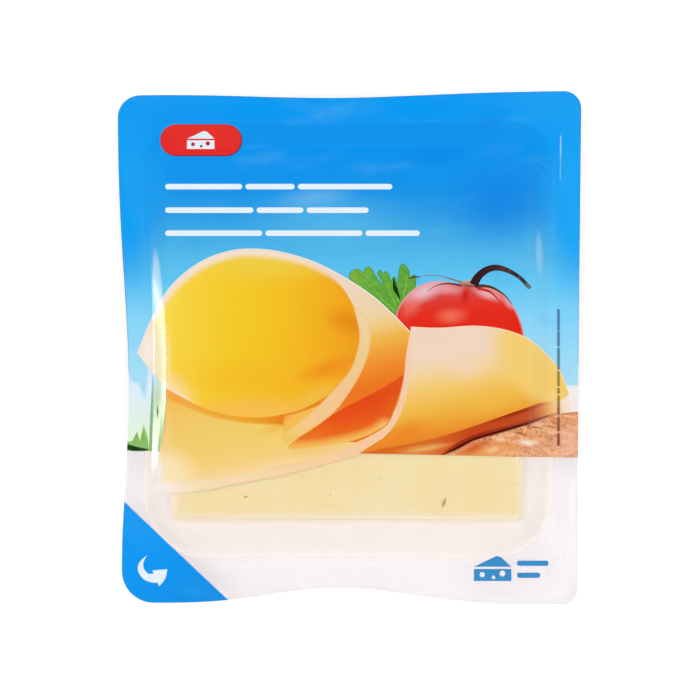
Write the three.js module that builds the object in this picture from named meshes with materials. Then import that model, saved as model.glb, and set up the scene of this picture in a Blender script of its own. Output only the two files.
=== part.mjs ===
// A sealed pack of sliced cheese: a clear formed tray, the stack of slices in it and the printed
// lid film that is welded to the tray's flange.
// Millimetres, +Z up. The pack lies on the floor of its tray with the print facing up, the top of
// the print towards +Y. The origin is under the middle of the pack, on the surface it lies on.
import * as THREE from "three";

// Film and slice thicknesses
const trayThickness = 0.4;
const lidThickness = 0.25;
const sealGap = 0.08;
const sliceThickness = 1.25;
const sliceGap = 0.05;
const sliceCount = 18;

// Cheese slices. Each lies a little off the stack's middle, in a direction that turns from slice to
// slice. The top one, which shows, has its own place.
const sliceWidth = 140;
const sliceLength = 148;
const sliceCornerRadius = 2.5;
const stackMiddle = new THREE.Vector2(-0.7, 4.7);
const stackSpread = 0.7;
const spreadTurn = 2.4;
const topSliceShift = new THREE.Vector2(0.3, 0.9);
const topSliceTurn = THREE.MathUtils.degToRad(-0.5);

// Heights. The lid rises from the flange to the top of the stack, and dips on the way.
const stackBase = trayThickness + sliceGap;
const stackTop = stackBase + sliceCount * (sliceThickness + sliceGap);
const lidRise = 3.6;
const flangeTop = stackTop - lidRise;
const lidDip = 0.5;

// The flange waves where the film has shrunk, most at its free edge.
const flangeWave = 1.1;
const waveLength = 88;
const wavePhase = 0.9;
const waveSlant = 0.6;

// The corner to peel the lid by: a line across the corner, beyond which the lid stands clear.
const peelLineStart = new THREE.Vector2(-90.2, -62.9);
const peelLineEnd = new THREE.Vector2(-51, -100.5);
const peelReach = 24;
const peelLift = 1.4;

// Steps to a corner and to a side in every loop
const cornerSteps = 6;
const sideSteps = 14;
const quarterTurn = Math.PI / 2;

// A loop has four corners, anticlockwise from the bottom right one. Each is the place where two
// sides would meet and the radius that rounds it. The side after a corner is drawn in by its sag,
// most at the share of its length called peak, over a stretch that is shorter the higher power is.
const outline = [
  { at: [91.6, -103.0], radius: 6, sag: 0.5 },
  { at: [93.0, 103.0], radius: 7, sag: 1.8, peak: 0.52 },
  { at: [-93.0, 101.3], radius: 9, sag: 3.4, peak: 0.57 },
  { at: [-91.2, -102.2], radius: 13, sag: 6.2, peak: 0.45, power: 4 },
];
const rim = [
  { at: [81.6, -85.2], radius: 26, sag: 0.6 },
  { at: [84.2, 93.0], radius: 20, sag: 1.4 },
  { at: [-84.8, 92.2], radius: 20, sag: 2.8, peak: 0.57 },
  { at: [-82.6, -85.0], radius: 26, sag: 0.8, peak: 0.45 },
];
const pocketFloor = aroundStack({ margin: 1.7, radius: 3.8 });
const lidShelf = aroundStack({ margin: 1.9, radius: 4.5 });

// Rows of the flange from its edge, 1, to the pocket's rim, 0
const flangeRows = [1, 0.5, 0];

// Rows of the pocket's wall from its rim, 0, to its floor, 1: how far across and how far down
const wallRows = [
  { across: 0.05, down: 0.015 },
  { across: 0.16, down: 0.08 },
  { across: 0.28, down: 0.26 },
  { across: 0.44, down: 0.52 },
  { across: 0.6, down: 0.78 },
  { across: 0.72, down: 0.91 },
  { across: 0.86, down: 0.98 },
  { across: 1, down: 1 },
];
const wallSteepness = 0.9;

// Rows of the lid from the rim, 0, to the shelf over the stack, 1
const slopeRows = [0.12, 0.3, 0.5, 0.7, 0.88, 1];

const clearTrayLook = { color: 0xe9e6e6, roughness: 0.15, metalness: 0 };
const printedLidLook = { color: 0x2a9fee, roughness: 0.2, metalness: 0 };
const cheeseLook = { color: 0xf6dc8c, roughness: 0.45, metalness: 0 };

// The corners of the stack's outline, grown by a margin on each side
function aroundStack({ margin, radius }) {
  const x = sliceWidth / 2 + margin;
  const y = sliceLength / 2 + margin;
  const places = [[x, -y], [x, y], [-x, y], [-x, -y]];
  return places.map(([px, py]) => ({ at: [px + stackMiddle.x, py + stackMiddle.y], radius }));
}

// The points of one corner's arc. The first corner's starts facing down and ends facing right.
function cornerArc({ at, radius }, index) {
  const diagonal = (index - 0.5) * quarterTurn;
  const towards = new THREE.Vector2(Math.sign(Math.cos(diagonal)), Math.sign(Math.sin(diagonal)));
  const centre = new THREE.Vector2(...at).addScaledVector(towards, -radius);
  const points = [];
  for (let step = 0; step <= cornerSteps; step++) {
    const angle = (index - 1 + step / cornerSteps) * quarterTurn;
    const arm = new THREE.Vector2(Math.cos(angle), Math.sin(angle));
    points.push(centre.clone().addScaledVector(arm, radius));
  }
  return points;
}

// One closed loop. Every loop has the same number of points, so two loops join point to point.
function makeLoop(corners) {
  const arcs = corners.map(cornerArc);
  return corners.flatMap(({ sag = 0, peak = 0.5, power = 2 }, index) => {
    const from = arcs[index].at(-1);
    const to = arcs[(index + 1) % corners.length][0];
    const facing = index * quarterTurn;
    const inward = new THREE.Vector2(-Math.cos(facing), -Math.sin(facing));
    // A share raised to this is a half at the peak, so that the sine is at its highest there.
    const bend = Math.log(0.5) / Math.log(peak);
    const side = [];
    for (let step = 1; step < sideSteps; step++) {
      const share = step / sideSteps;
      const drawnIn = sag * Math.sin(Math.PI * share ** bend) ** power;
      side.push(from.clone().lerp(to, share).addScaledVector(inward, drawnIn));
    }
    return [...arcs[index], ...side];
  });
}

function between(loopA, loopB, share) {
  return loopA.map((point, i) => point.clone().lerp(loopB[i], share));
}

function raise(loop, height) {
  return loop.map((point) => new THREE.Vector3(point.x, point.y, height(point)));
}

function lift(loops, amount) {
  return loops.map((loop) => loop.map((point) => point.clone().setZ(point.z + amount)));
}

// How far the flange waves up or down at a point that lies outward from the rim, 0, to the edge, 1
function waveAt(point, outward) {
  const along = (point.x + waveSlant * point.y) / waveLength;
  return flangeWave * outward ** 2 * Math.sin(2 * Math.PI * along + wavePhase);
}

// How far the lid stands off the tray at the corner to peel
function peelAt(point) {
  const line = peelLineEnd.clone().sub(peelLineStart).normalize();
  const beyond = point.clone().sub(peelLineStart).cross(line);
  return peelLift * THREE.MathUtils.smoothstep(beyond, 0, peelReach);
}

// The lid's underside between the rim, 0, and the shelf over the stack, 1
function slopeHeight(share) {
  const dip = lidDip * Math.sin(Math.PI * share) ** 2;
  return flangeTop + sealGap + lidRise * THREE.MathUtils.smoothstep(share, 0, 1) - dip;
}

// A closed thin body between two skins. A skin is a list of loops from the edge inwards, and it is
// flat inside its last loop.
function sheetGeometry(upper, lower) {
  const perLoop = upper[0].length;
  const vertices = [...upper.flat(), ...lower.flat()];
  const addMiddle = (skin) =>
    vertices.push(new THREE.Vector3(stackMiddle.x, stackMiddle.y, skin.at(-1)[0].z)) - 1;
  const upperMiddle = addMiddle(upper);
  const lowerMiddle = addMiddle(lower);
  const upperAt = (row, i) => row * perLoop + (i % perLoop);
  const lowerAt = (row, i) => upper.length * perLoop + upperAt(row, i);
  const last = upper.length - 1;
  const faces = [];
  const quad = (a, b, c, d) => faces.push(a, b, c, a, c, d);
  for (let i = 0; i < perLoop; i++) {
    quad(lowerAt(0, i), lowerAt(0, i + 1), upperAt(0, i + 1), upperAt(0, i));
    for (let row = 0; row < last; row++) {
      quad(upperAt(row, i), upperAt(row, i + 1), upperAt(row + 1, i + 1), upperAt(row + 1, i));
      quad(lowerAt(row, i), lowerAt(row + 1, i), lowerAt(row + 1, i + 1), lowerAt(row, i + 1));
    }
    faces.push(upperAt(last, i), upperAt(last, i + 1), upperMiddle);
    faces.push(lowerAt(last, i + 1), lowerAt(last, i), lowerMiddle);
  }
  return new THREE.BufferGeometry().setFromPoints(vertices).setIndex(faces);
}

// The tray: the flange that the lid is welded to, sloping walls with rounded bends, and a flat floor
function makeTray() {
  const edgeLoop = makeLoop(outline);
  const rimLoop = makeLoop(rim);
  const floorLoop = makeLoop(pocketFloor);
  const flangeBase = flangeTop - trayThickness;
  const flange = flangeRows.map((outward) =>
    raise(between(rimLoop, edgeLoop, outward), (p) => flangeBase + waveAt(p, outward)));
  const wall = wallRows.map(({ across, down }) =>
    raise(between(rimLoop, floorLoop, across), () => flangeBase * (1 - down)));
  // Straight up through a steep wall is further than straight up through the floor.
  const wallInside = wallRows.flatMap(({ down }, row) =>
    lift([wall[row]], trayThickness * (1 + wallSteepness * Math.sin(Math.PI * down))));
  return sheetGeometry([...lift(flange, trayThickness), ...wallInside], [...flange, ...wall]);
}

// The lid: flat on the flange, up over the edge of the stack, and resting on the top slice
function makeLid() {
  const edgeLoop = makeLoop(outline);
  const rimLoop = makeLoop(rim);
  const shelfLoop = makeLoop(lidShelf);
  const sealHeight = flangeTop + sealGap;
  const flange = flangeRows.map((outward) =>
    raise(between(rimLoop, edgeLoop, outward), (p) => sealHeight + waveAt(p, outward) + peelAt(p)));
  const slope = slopeRows.map((share) =>
    raise(between(rimLoop, shelfLoop, share), () => slopeHeight(share)));
  const underside = [...flange, ...slope];
  return sheetGeometry(lift(underside, lidThickness), underside);
}

// One slice with rounded corners, its underside at height 0
function makeSlice() {
  const r = sliceCornerRadius;
  const x = sliceWidth / 2 - r;
  const y = sliceLength / 2 - r;
  const shape = new THREE.Shape();
  shape.absarc(x, -y, r, -quarterTurn, 0);
  shape.absarc(x, y, r, 0, quarterTurn);
  shape.absarc(-x, y, r, quarterTurn, 2 * quarterTurn);
  shape.absarc(-x, -y, r, 2 * quarterTurn, 3 * quarterTurn);
  return new THREE.ExtrudeGeometry(shape, {
    depth: sliceThickness,
    bevelEnabled: false,
    curveSegments: 3,
  });
}

function makePiece(name, geometry, look) {
  const mesh = new THREE.Mesh(geometry, new THREE.MeshStandardMaterial(look));
  mesh.name = name;
  return mesh;
}

function makeStack() {
  const stack = new THREE.Group();
  for (let i = 0; i < sliceCount; i++) {
    const slice = makePiece(`slice_${String(i + 1).padStart(2, "0")}`, makeSlice(), cheeseLook);
    const isTop = i === sliceCount - 1;
    const spread = new THREE.Vector2(stackSpread, 0).rotateAround(new THREE.Vector2(), i * spreadTurn);
    const place = stackMiddle.clone().add(isTop ? topSliceShift : spread);
    slice.position.set(place.x, place.y, stackBase + i * (sliceThickness + sliceGap));
    slice.rotation.z = isTop ? topSliceTurn : 0;
    stack.add(slice);
  }
  return stack;
}

const pack = new THREE.Group();
pack.add(makePiece("tray", makeTray(), clearTrayLook));
pack.add(makeStack());
pack.add(makePiece("lid_film", makeLid(), printedLidLook));

export default pack;
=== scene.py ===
import math

import bpy
import numpy as np
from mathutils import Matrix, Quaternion, Vector, geometry


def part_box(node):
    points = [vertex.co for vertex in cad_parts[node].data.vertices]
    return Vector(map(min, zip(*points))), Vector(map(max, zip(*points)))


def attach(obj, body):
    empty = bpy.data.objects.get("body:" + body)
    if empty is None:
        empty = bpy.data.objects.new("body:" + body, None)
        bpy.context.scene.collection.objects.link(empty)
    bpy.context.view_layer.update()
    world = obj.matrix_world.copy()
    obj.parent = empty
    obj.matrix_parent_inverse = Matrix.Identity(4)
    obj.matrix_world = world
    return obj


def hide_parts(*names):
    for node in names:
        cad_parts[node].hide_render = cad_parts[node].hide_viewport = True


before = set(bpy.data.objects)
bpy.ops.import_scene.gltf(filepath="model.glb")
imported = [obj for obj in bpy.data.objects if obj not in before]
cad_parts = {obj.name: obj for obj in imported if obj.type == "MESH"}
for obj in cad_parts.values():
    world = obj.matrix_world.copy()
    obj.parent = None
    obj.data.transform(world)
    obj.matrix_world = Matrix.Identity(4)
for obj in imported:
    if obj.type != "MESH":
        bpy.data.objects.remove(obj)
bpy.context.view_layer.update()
print("frame read:", len(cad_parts), "nodes")

mm = 0.001  # sizes below are in millimetres, Blender's are in metres
quarterTurn = math.pi / 2
sliceNodes = sorted(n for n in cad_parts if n.startswith("slice_"))


# Colours and nodes

def toLinear(hexColour):
    channels = [int(hexColour[i:i + 2], 16) / 255 for i in (1, 3, 5)]
    return [c / 12.92 if c <= 0.04045 else ((c + 0.055) / 1.055) ** 2.4 for c in channels] + [1]


def findSocket(sockets, name):
    return next(s for s in sockets if name in (s.identifier, s.name))


def addNode(tree, kind, settings=None, links=None):
    node = tree.nodes.new("ShaderNode" + kind)
    for name, value in (settings or {}).items():
        if hasattr(node, name):
            setattr(node, name, value)
        else:
            findSocket(node.inputs, name).default_value = value
    for name, source in (links or {}).items():
        tree.links.new(source, findSocket(node.inputs, name))
    return node


def newMaterial(name):
    material = bpy.data.materials.new(name)
    material.use_nodes = True
    tree = material.node_tree
    tree.nodes.clear()
    return material, tree, addNode(tree, "TexCoord").outputs["Object"]


def showSurface(material, tree, shader):
    addNode(tree, "OutputMaterial", None, {"Surface": shader})
    return material


def setStops(ramp, stops):
    while len(ramp.elements) < len(stops):
        ramp.elements.new(1)
    for element, (place, hexColour) in zip(ramp.elements, stops.items()):
        element.position = place
        element.color = toLinear(hexColour)


# Flat geometry: points are rows of x and y in millimetres

sameSpot = 0.01  # points nearer than this are one
rowShare = 0.866  # rows of even triangles are this share of their side apart
clearShare = 0.4  # how far points of the grid keep from a line, as a share of the grid's step


def cornerArc(corner, index, steps):
    diagonal = (index - 0.5) * quarterTurn
    centre = np.array(corner["at"]) - corner["radius"] * np.sign([math.cos(diagonal), math.sin(diagonal)])
    angles = (index - 1 + np.arange(steps + 1) / steps) * quarterTurn
    return centre + corner["radius"] * np.column_stack([np.cos(angles), np.sin(angles)])


def turned(points, degrees):
    angle = math.radians(degrees)
    return points @ np.array([[math.cos(angle), math.sin(angle)], [-math.sin(angle), math.cos(angle)]])


def makeLoop(corners, cornerSteps, sideSteps):
    arcs = [cornerArc(corner, i, cornerSteps) for i, corner in enumerate(corners)]
    runs = []
    for i, corner in enumerate(corners):
        start, end = arcs[i][-1], arcs[(i + 1) % len(corners)][0]
        inward = -np.array([math.cos(i * quarterTurn), math.sin(i * quarterTurn)])
        bend = math.log(0.5) / math.log(corner.get("peak", 0.5))  # moves the sine's top to the peak
        share = np.arange(1, sideSteps)[:, None] / sideSteps
        drawnIn = corner.get("sag", 0) * np.sin(math.pi * share ** bend) ** corner.get("power", 2)
        runs += [arcs[i], start + (end - start) * share + inward * drawnIn]
    return np.vstack(runs)


def rectangleCorners(middle, width, length, radius):
    x, y = width / 2, length / 2
    return [{"at": (middle[0] + sx * x, middle[1] + sy * y), "radius": radius}
            for sx, sy in ((1, -1), (1, 1), (-1, 1), (-1, -1))]


def distanceTo(points, line, closed=True):
    nearest = np.full(len(points), np.inf)
    for a, b in zip(line, np.roll(line, -1, axis=0) if closed else line[1:]):
        along = b - a
        share = np.clip((points - a) @ along / max(along @ along, 1e-12), 0, 1)
        away = points - a - share[:, None] * along
        nearest = np.minimum(nearest, np.hypot(away[:, 0], away[:, 1]))
    return nearest


def isInside(points, loop):
    inside = np.zeros(len(points), bool)
    boxed = np.all((points > loop.min(0)) & (points < loop.max(0)), axis=1)
    x, y = points[boxed].T
    found = np.zeros(len(x), bool)
    for a, b in zip(loop, np.roll(loop, -1, axis=0)):
        if a[1] != b[1]:
            found ^= ((a[1] > y) != (b[1] > y)) & (x < a[0] + (y - a[1]) * (b[0] - a[0]) / (b[1] - a[1]))
    inside[boxed] = found
    return inside


def smoothstep(share):
    share = np.clip(share, 0, 1)
    return share * share * (3 - 2 * share)


def smoothRun(points, step=1.2):
    points = np.array(points, float)
    padded = np.vstack([2 * points[0] - points[1], points, 2 * points[-1] - points[-2]])
    rows = [points[:1]]
    for a, b, c, d in zip(padded, padded[1:], padded[2:], padded[3:]):
        count = max(1, int(np.hypot(*(c - b)) / step))
        t = np.arange(1, count + 1)[:, None] / count
        rows.append(0.5 * (2 * b + (c - a) * t + (2 * a - 5 * b + 4 * c - d) * t ** 2
                           + (3 * b - a - 3 * c + d) * t ** 3))
    return np.vstack(rows)


def closeRuns(runs):  # each run is a smooth curve, which starts at a sharp corner where the one before it ends
    joined = [runs[0]] + [[before[-1], *run] for before, run in zip(runs, runs[1:])]
    outline = np.vstack([smoothRun(run) for run in joined])
    apart = np.hypot(*(outline - np.roll(outline, 1, axis=0)).T) > sameSpot
    return outline[apart]


def strokeOutline(points, widths):  # a band along a curve, as wide as its widths say from end to end
    line = smoothRun(points, step=0.7)
    along = np.gradient(line, axis=0)
    side = np.column_stack([-along[:, 1], along[:, 0]]) / np.hypot(*along.T)[:, None]
    half = np.interp(np.linspace(0, 1, len(line)), np.linspace(0, 1, len(widths)), widths)[:, None] / 2
    return np.vstack([line + side * half, (line - side * half)[::-1]])


def barOutline(start, end, width):  # a straight bar with round ends
    start, end = np.array(start, float), np.array(end, float)
    heading = math.atan2(*(end - start)[::-1])
    turns = np.linspace(-quarterTurn, quarterTurn, 13)
    caps = [centre + width / 2 * np.column_stack([np.cos(turns + facing), np.sin(turns + facing)])
            for centre, facing in ((end, heading), (start, heading + math.pi))]
    return np.vstack(caps)


def discOutline(at, radius, steps=16):
    turns = np.arange(steps) * 2 * math.pi / steps
    return np.array(at) + radius * np.column_stack([np.cos(turns), np.sin(turns)])


def ringWithin(outline, centre, inset):  # the outline drawn in by an amount on all sides
    half = np.abs(outline - centre).max(0)
    return centre + (outline - centre) * (1 - inset / half)


def hexGrid(low, high, step):
    rows = np.arange(low[1], high[1], step * rowShare)
    columns = np.arange(low[0], high[0], step)
    return np.vstack([np.column_stack([columns + (i % 2) * step / 2, np.full(len(columns), y)])
                      for i, y in enumerate(rows)])


def splitSheet(edge, lines, step):  # triangles that fill the edge, with the lines as sides of triangles
    loops = [edge, *lines]
    starts = np.cumsum([0] + [len(loop) for loop in loops])
    sides = [(start + i, start + (i + 1) % len(loop))
             for start, loop in zip(starts, loops) for i in range(len(loop))]
    grid = hexGrid(edge.min(0), edge.max(0), step)
    grid = grid[isInside(grid, edge)]
    for loop in loops:
        near = np.all((grid > loop.min(0) - step) & (grid < loop.max(0) + step), axis=1)
        keep = np.ones(len(grid), bool)
        keep[near] = distanceTo(grid[near], loop) > step * clearShare
        grid = grid[keep]
    corners = [Vector(p) for p in np.vstack([*loops, grid])]
    points, _, faces = geometry.delaunay_2d_cdt(corners, sides, [], 0, 1e-5, False)[:3]
    points, faces = np.array(points), np.array(faces)
    faces = faces[isInside(points[faces].mean(1), edge)]
    used, faces = np.unique(faces, return_inverse=True)
    return points[used], faces.reshape(-1, 3)


# Meshes

def addObject(name, data):
    added = bpy.data.objects.new(name, data)
    bpy.context.scene.collection.objects.link(added)
    return added


def addValues(piece, name, domain, values):  # numbers on the mesh that a material reads
    layer = piece.data.attributes.new(name, "FLOAT", domain)
    layer.data.foreach_set("value", values.astype(np.float32))


def buildPiece(name, points, faces, materials, slots=None, normals=None, body="root"):
    mesh = bpy.data.meshes.new(name)
    mesh.from_pydata((np.array(points) * mm).tolist(), [], [list(map(int, face)) for face in faces])
    for material in materials:
        mesh.materials.append(material)
    if slots is not None:
        mesh.polygons.foreach_set("material_index", np.array(slots, np.int32))
    mesh.polygons.foreach_set("use_smooth", np.ones(len(mesh.polygons), bool))
    mesh.update()
    if normals is not None:
        mesh.normals_split_custom_set(normals.tolist())
    piece = addObject(name, mesh)
    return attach(piece, body)


def raiseLoop(loop, height):
    return np.column_stack([loop, np.broadcast_to(height, len(loop))])


def skinFaces(rows, count, start, flip):  # quads between loops of the same count, and a fan in the last one
    faces = []
    for row in range(rows - 1):
        for i in range(count):
            a, b = start + row * count + i, start + row * count + (i + 1) % count
            faces.append((a, b, b + count, a + count))
    last, middle = start + (rows - 1) * count, start + rows * count
    faces += [(last + i, last + (i + 1) % count, middle) for i in range(count)]
    return [face[::-1] for face in faces] if flip else faces


# The pack's form, as the solids have it

pack = {
    "trayThickness": 0.4,
    "lidThickness": 0.25,
    "sealGap": 0.08,
    "lidRise": 3.6,  # from the flange up to the top of the stack
    "lidPull": {"foot": 0.36, "crest": 0.07, "bulge": 0.25},  # a nearly straight pull, steepest near the seal
    "sliceWidth": 140,
    "sliceLength": 148,
    "sliceCornerRadius": 2.5,
    "stackMiddle": (-0.7, 4.7),
    "topSliceTurn": -0.5,  # degrees
    "outline": [
        {"at": (91.6, -103.0), "radius": 6, "sag": 0.5},
        {"at": (93.0, 103.0), "radius": 7, "sag": 1.8, "peak": 0.52},
        {"at": (-93.0, 101.3), "radius": 9, "sag": 3.4, "peak": 0.57},
        {"at": (-91.2, -102.2), "radius": 13, "sag": 6.2, "peak": 0.45, "power": 4},
    ],
    "rim": [
        {"at": (81.6, -85.2), "radius": 26, "sag": 0.6},
        {"at": (84.2, 93.0), "radius": 20, "sag": 1.4},
        {"at": (-84.8, 92.2), "radius": 20, "sag": 2.8, "peak": 0.57},
        {"at": (-82.6, -85.0), "radius": 26, "sag": 0.8, "peak": 0.45},
    ],
    "floorMargin": 1.7,
    "floorRadius": 3.8,
    "shelfMargin": 1.9,
    "shelfRadius": 4.5,
    "flangeWave": 1.1,
    "waveLength": 88,
    "wavePhase": 0.9,
    "waveSlant": 0.6,
    "peelLine": ((-90.2, -62.9), (-51.0, -100.5)),
    "peelReach": 24,
    "peelLift": 1.4,
}
stackMiddle = np.array(pack["stackMiddle"])
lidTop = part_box("lid_film")[1].z / mm
flangeTop = lidTop - pack["lidThickness"] - pack["lidRise"] - pack["sealGap"]


def aroundStack(margin, radius):
    width, length = pack["sliceWidth"] + 2 * margin, pack["sliceLength"] + 2 * margin
    return rectangleCorners(stackMiddle, width, length, radius)


fine = {"cornerSteps": 18, "sideSteps": 90}
edgeLoop = makeLoop(pack["outline"], **fine)
rimLoop = makeLoop(pack["rim"], **fine)
floorLoop = makeLoop(aroundStack(pack["floorMargin"], pack["floorRadius"]), **fine)
shelfLoop = makeLoop(aroundStack(pack["shelfMargin"], pack["shelfRadius"]), **fine)


def placeOnFilm(points):  # how far out on the flange, 0 to 1, and how far up the slope to the stack, 0 to 1
    toEdge, toRim, toShelf = (distanceTo(points, loop[::2]) for loop in (edgeLoop, rimLoop, shelfLoop))
    overPocket, overStack = isInside(points, rimLoop), isInside(points, shelfLoop)
    outward = np.where(overPocket, 0, toRim / (toRim + toEdge + 1e-9))
    upSlope = np.where(overStack, 1, np.where(overPocket, toRim / (toRim + toShelf + 1e-9), 0))
    return outward, upSlope


def waveAt(points, outward):
    along = (points[:, 0] + pack["waveSlant"] * points[:, 1]) / pack["waveLength"]
    return pack["flangeWave"] * outward ** 2 * np.sin(2 * math.pi * along + pack["wavePhase"])


def peelAt(points):
    start, end = (np.array(p) for p in pack["peelLine"])
    line = (end - start) / np.hypot(*(end - start))
    away = points - start
    beyond = away[:, 0] * line[1] - away[:, 1] * line[0]
    return pack["peelLift"] * smoothstep(beyond / pack["peelReach"])


# Film that shrank a little as it cooled: slow ripples all over, and creases that fan from the stack's corners
filmRelief = {
    "ripples": [  # wave length, heading in degrees, height
        (33, 12, 0.022),
        (21, 97, 0.014),
        (47, 55, 0.016),
    ],
    "creaseHeight": 0.08,
    "creasesPerTurn": 22,
    "creaseSway": (0.8, 5),  # the creases lie uneven: by how much, and how often in a turn
    "creaseReach": 15,
}


# Where the seal ends the film steps down a little: the line, then the height and the reach on its two sides
sealFolds = [
    {"line": ((84.2, 62), (84.6, 90)), "height": 0.21, "reach": (4, 0.4)},
]


def foldRise(points):
    rise = np.zeros(len(points))
    for fold in sealFolds:
        start, end = (np.array(p, float) for p in fold["line"])
        length = np.hypot(*(end - start))
        away, along = points - start, (end - start) / length
        across = away[:, 0] * along[1] - away[:, 1] * along[0]
        before, after = fold["reach"]
        form = np.clip(np.minimum(1 + across / before, 1 - across / after), 0, 1)
        share = away @ along / length  # the step fades out over a fifth of its length at both ends
        rise += fold["height"] * form * smoothstep(5 * share) * smoothstep(5 * (1 - share))
    return rise


def foldOutline(fold):  # just within the steep side
    return strokeOutline(np.array(fold["line"]) + (fold["reach"][1] / 2, 0), (0.75 * fold["reach"][1],) * 2)


def reliefAt(points, upSlope):
    height = np.zeros(len(points))
    for i, (length, heading, amount) in enumerate(filmRelief["ripples"]):
        turn = math.radians(heading)
        along = points @ np.array([math.cos(turn), math.sin(turn)])
        height += amount * np.sin(2 * math.pi * along / length + i)
    height -= sum(amount for _, _, amount in filmRelief["ripples"])
    onSlope = np.sin(math.pi * upSlope) ** 2
    sway, swaysPerTurn = filmRelief["creaseSway"]
    for corner in aroundStack(0, 0):
        away = points - corner["at"]
        fade = np.exp(-(np.hypot(*away.T) / filmRelief["creaseReach"]) ** 2)
        turn = np.arctan2(away[:, 1], away[:, 0])
        crease = np.sin(filmRelief["creasesPerTurn"] * turn + sway * np.sin(swaysPerTurn * turn))
        height += filmRelief["creaseHeight"] * onSlope * fade * crease
    return height


pullShare = np.linspace(0, 1, 201)
pull = pack["lidPull"]
pullSlope = (smoothstep(pullShare / pull["foot"]) * smoothstep((1 - pullShare) / pull["crest"])
             * (1 + pull["bulge"] * (0.5 - pullShare)))
pullRise = np.cumsum(pullSlope) / pullSlope.sum()


def lidUnderside(points):
    outward, upSlope = placeOnFilm(points)
    rise = pack["lidRise"] * np.interp(upSlope, pullShare, pullRise)
    return (flangeTop + pack["sealGap"] + rise + waveAt(points, outward) + peelAt(points)
            + reliefAt(points, upSlope))


# Materials: clear films

clearFilm = {
    "ior": 1.5,
    "roughness": 0.09,
    "haze": (0.1, 0.1),  # the share of light that it scatters, lying on the cheese and free of it
    "hazeColour": "#F3EBF0",
    "tint": "#FFFDFE",
    "rippleSize": 7,
    "rippleDepth": 0.05,
}
freeFilm = {**clearFilm, "haze": (0.05, 0.62), "hazeColour": "#FEF6F3"}
# The seam's darker veil is painted shade: the thin dark line where the tray turns down at the rim
seamFilm = {**clearFilm, "haze": (0.3, 0.3), "hazeColour": "#E6DAD8"}
trayFilm = {**clearFilm, "haze": (0.3, 0.3), "hazeColour": "#EEE8EB", "tint": "#EEEEEF", "roughness": 0.14,
            "rippleSize": 11}
# The wall film's haze is its own, but its warm veil and tint are painted light: the cheese's warm bounce on the
# pocket
trayWallFilm = {**trayFilm, "haze": (0.32, 0.32), "hazeColour": "#FBF1EC", "tint": "#F5F1EF"}


def mixShaders(tree, factor, under, over):
    mixed = addNode(tree, "MixShader")
    if isinstance(factor, (int, float)):
        mixed.inputs[0].default_value = factor
    else:
        tree.links.new(factor, mixed.inputs[0])
    tree.links.new(under, mixed.inputs[1])
    tree.links.new(over, mixed.inputs[2])
    return mixed.outputs[0]


def addRipples(tree, place, look):  # the film is never quite flat, and its gloss shows it
    ripple = addNode(tree, "TexNoise", {"Scale": 1 / (look["rippleSize"] * mm), "Detail": 2}, {"Vector": place})
    bump = addNode(tree, "Bump", {"Strength": 0.5, "Distance": look["rippleDepth"] * mm},
                   {"Height": ripple.outputs["Fac"]})
    return bump.outputs["Normal"]


def makeClearFilm(name, look):
    # PET film, cast and drawn: you see straight through it, with a faint milky veil and sharp gloss lines.
    material, tree, place = newMaterial(name)
    bump = addRipples(tree, place, look)
    through = addNode(tree, "BsdfTransparent", {"Color": toLinear(look["tint"])}).outputs[0]
    veil = addNode(tree, "BsdfPrincipled", {
        "Base Color": toLinear(look["hazeColour"]), "Roughness": look["roughness"], "IOR": look["ior"],
    }, {"Normal": bump}).outputs[0]
    gloss = addNode(tree, "BsdfGlossy", {
        "Color": toLinear("#FFFFFF"), "Roughness": look["roughness"],
    }, {"Normal": bump}).outputs[0]
    fresnel = addNode(tree, "Fresnel", {"IOR": look["ior"]}, {"Normal": bump}).outputs["Fac"]
    onCheese, free = look["haze"]
    haze = onCheese
    if free != onCheese:
        lift = addNode(tree, "Attribute", {"attribute_name": "lift"})
        haze = addNode(tree, "MapRange", {"To Min": onCheese, "To Max": free},
                       {"Value": lift.outputs["Fac"]}).outputs["Result"]
    film = mixShaders(tree, fresnel, mixShaders(tree, haze, through, veil), gloss)
    clear = addNode(tree, "BsdfTransparent", {"Color": toLinear("#FFFFFF")}).outputs[0]
    # Each skin mirrors once only, and such thin film casts no shadow to see.
    innerFace = addNode(tree, "NewGeometry").outputs["Backfacing"]
    lampRay = addNode(tree, "LightPath").outputs["Is Shadow Ray"]
    film = mixShaders(tree, innerFace, film, clear)
    return showSurface(material, tree, mixShaders(tree, lampRay, film, clear))


# Materials: gravure inks, printed on the film's inner face, so that all of them show through its gloss

inkedFilm = {
    "ior": 1.5,
    "roughness": 0.12,
    "rippleSize": 9,
    "rippleDepth": 0.04,
    "mottleSize": 1.6,  # real ink mottle is about 0.3 mm, too fine to show
    "mottle": 0.035,
}


def mixColour(tree, factor, under, over, kind="MIX"):
    settings = {"data_type": "RGBA", "blend_type": kind}
    links = {"A_Color": under}
    if isinstance(over, str):
        settings["B_Color"] = toLinear(over)
    else:
        links["B_Color"] = over
    if isinstance(factor, (int, float)):
        settings["Factor_Float"] = factor
    else:
        links["Factor_Float"] = factor
    return findSocket(addNode(tree, "Mix", settings, links).outputs, "Result_Color")


def addLocal(tree, place, at, size, angle):  # the plane as it lies to a part of the print, in its size
    return addNode(tree, "Mapping", {
        "vector_type": "TEXTURE", "Location": (at[0] * mm, at[1] * mm, 0), "Rotation": (0, 0, angle),
        "Scale": (size[0] * mm, size[1] * mm, 1),
    }, {"Vector": place}).outputs[0]


def mixSoftly(tree, value, between, strengths, under, over):
    soft = addNode(tree, "MapRange", {
        "interpolation_type": "SMOOTHSTEP", "From Min": between[0], "From Max": between[1],
        "To Min": strengths[0], "To Max": strengths[1],
    }, {"Value": value.outputs["Fac"]})
    return mixColour(tree, soft.outputs["Result"], under, over)


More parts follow.
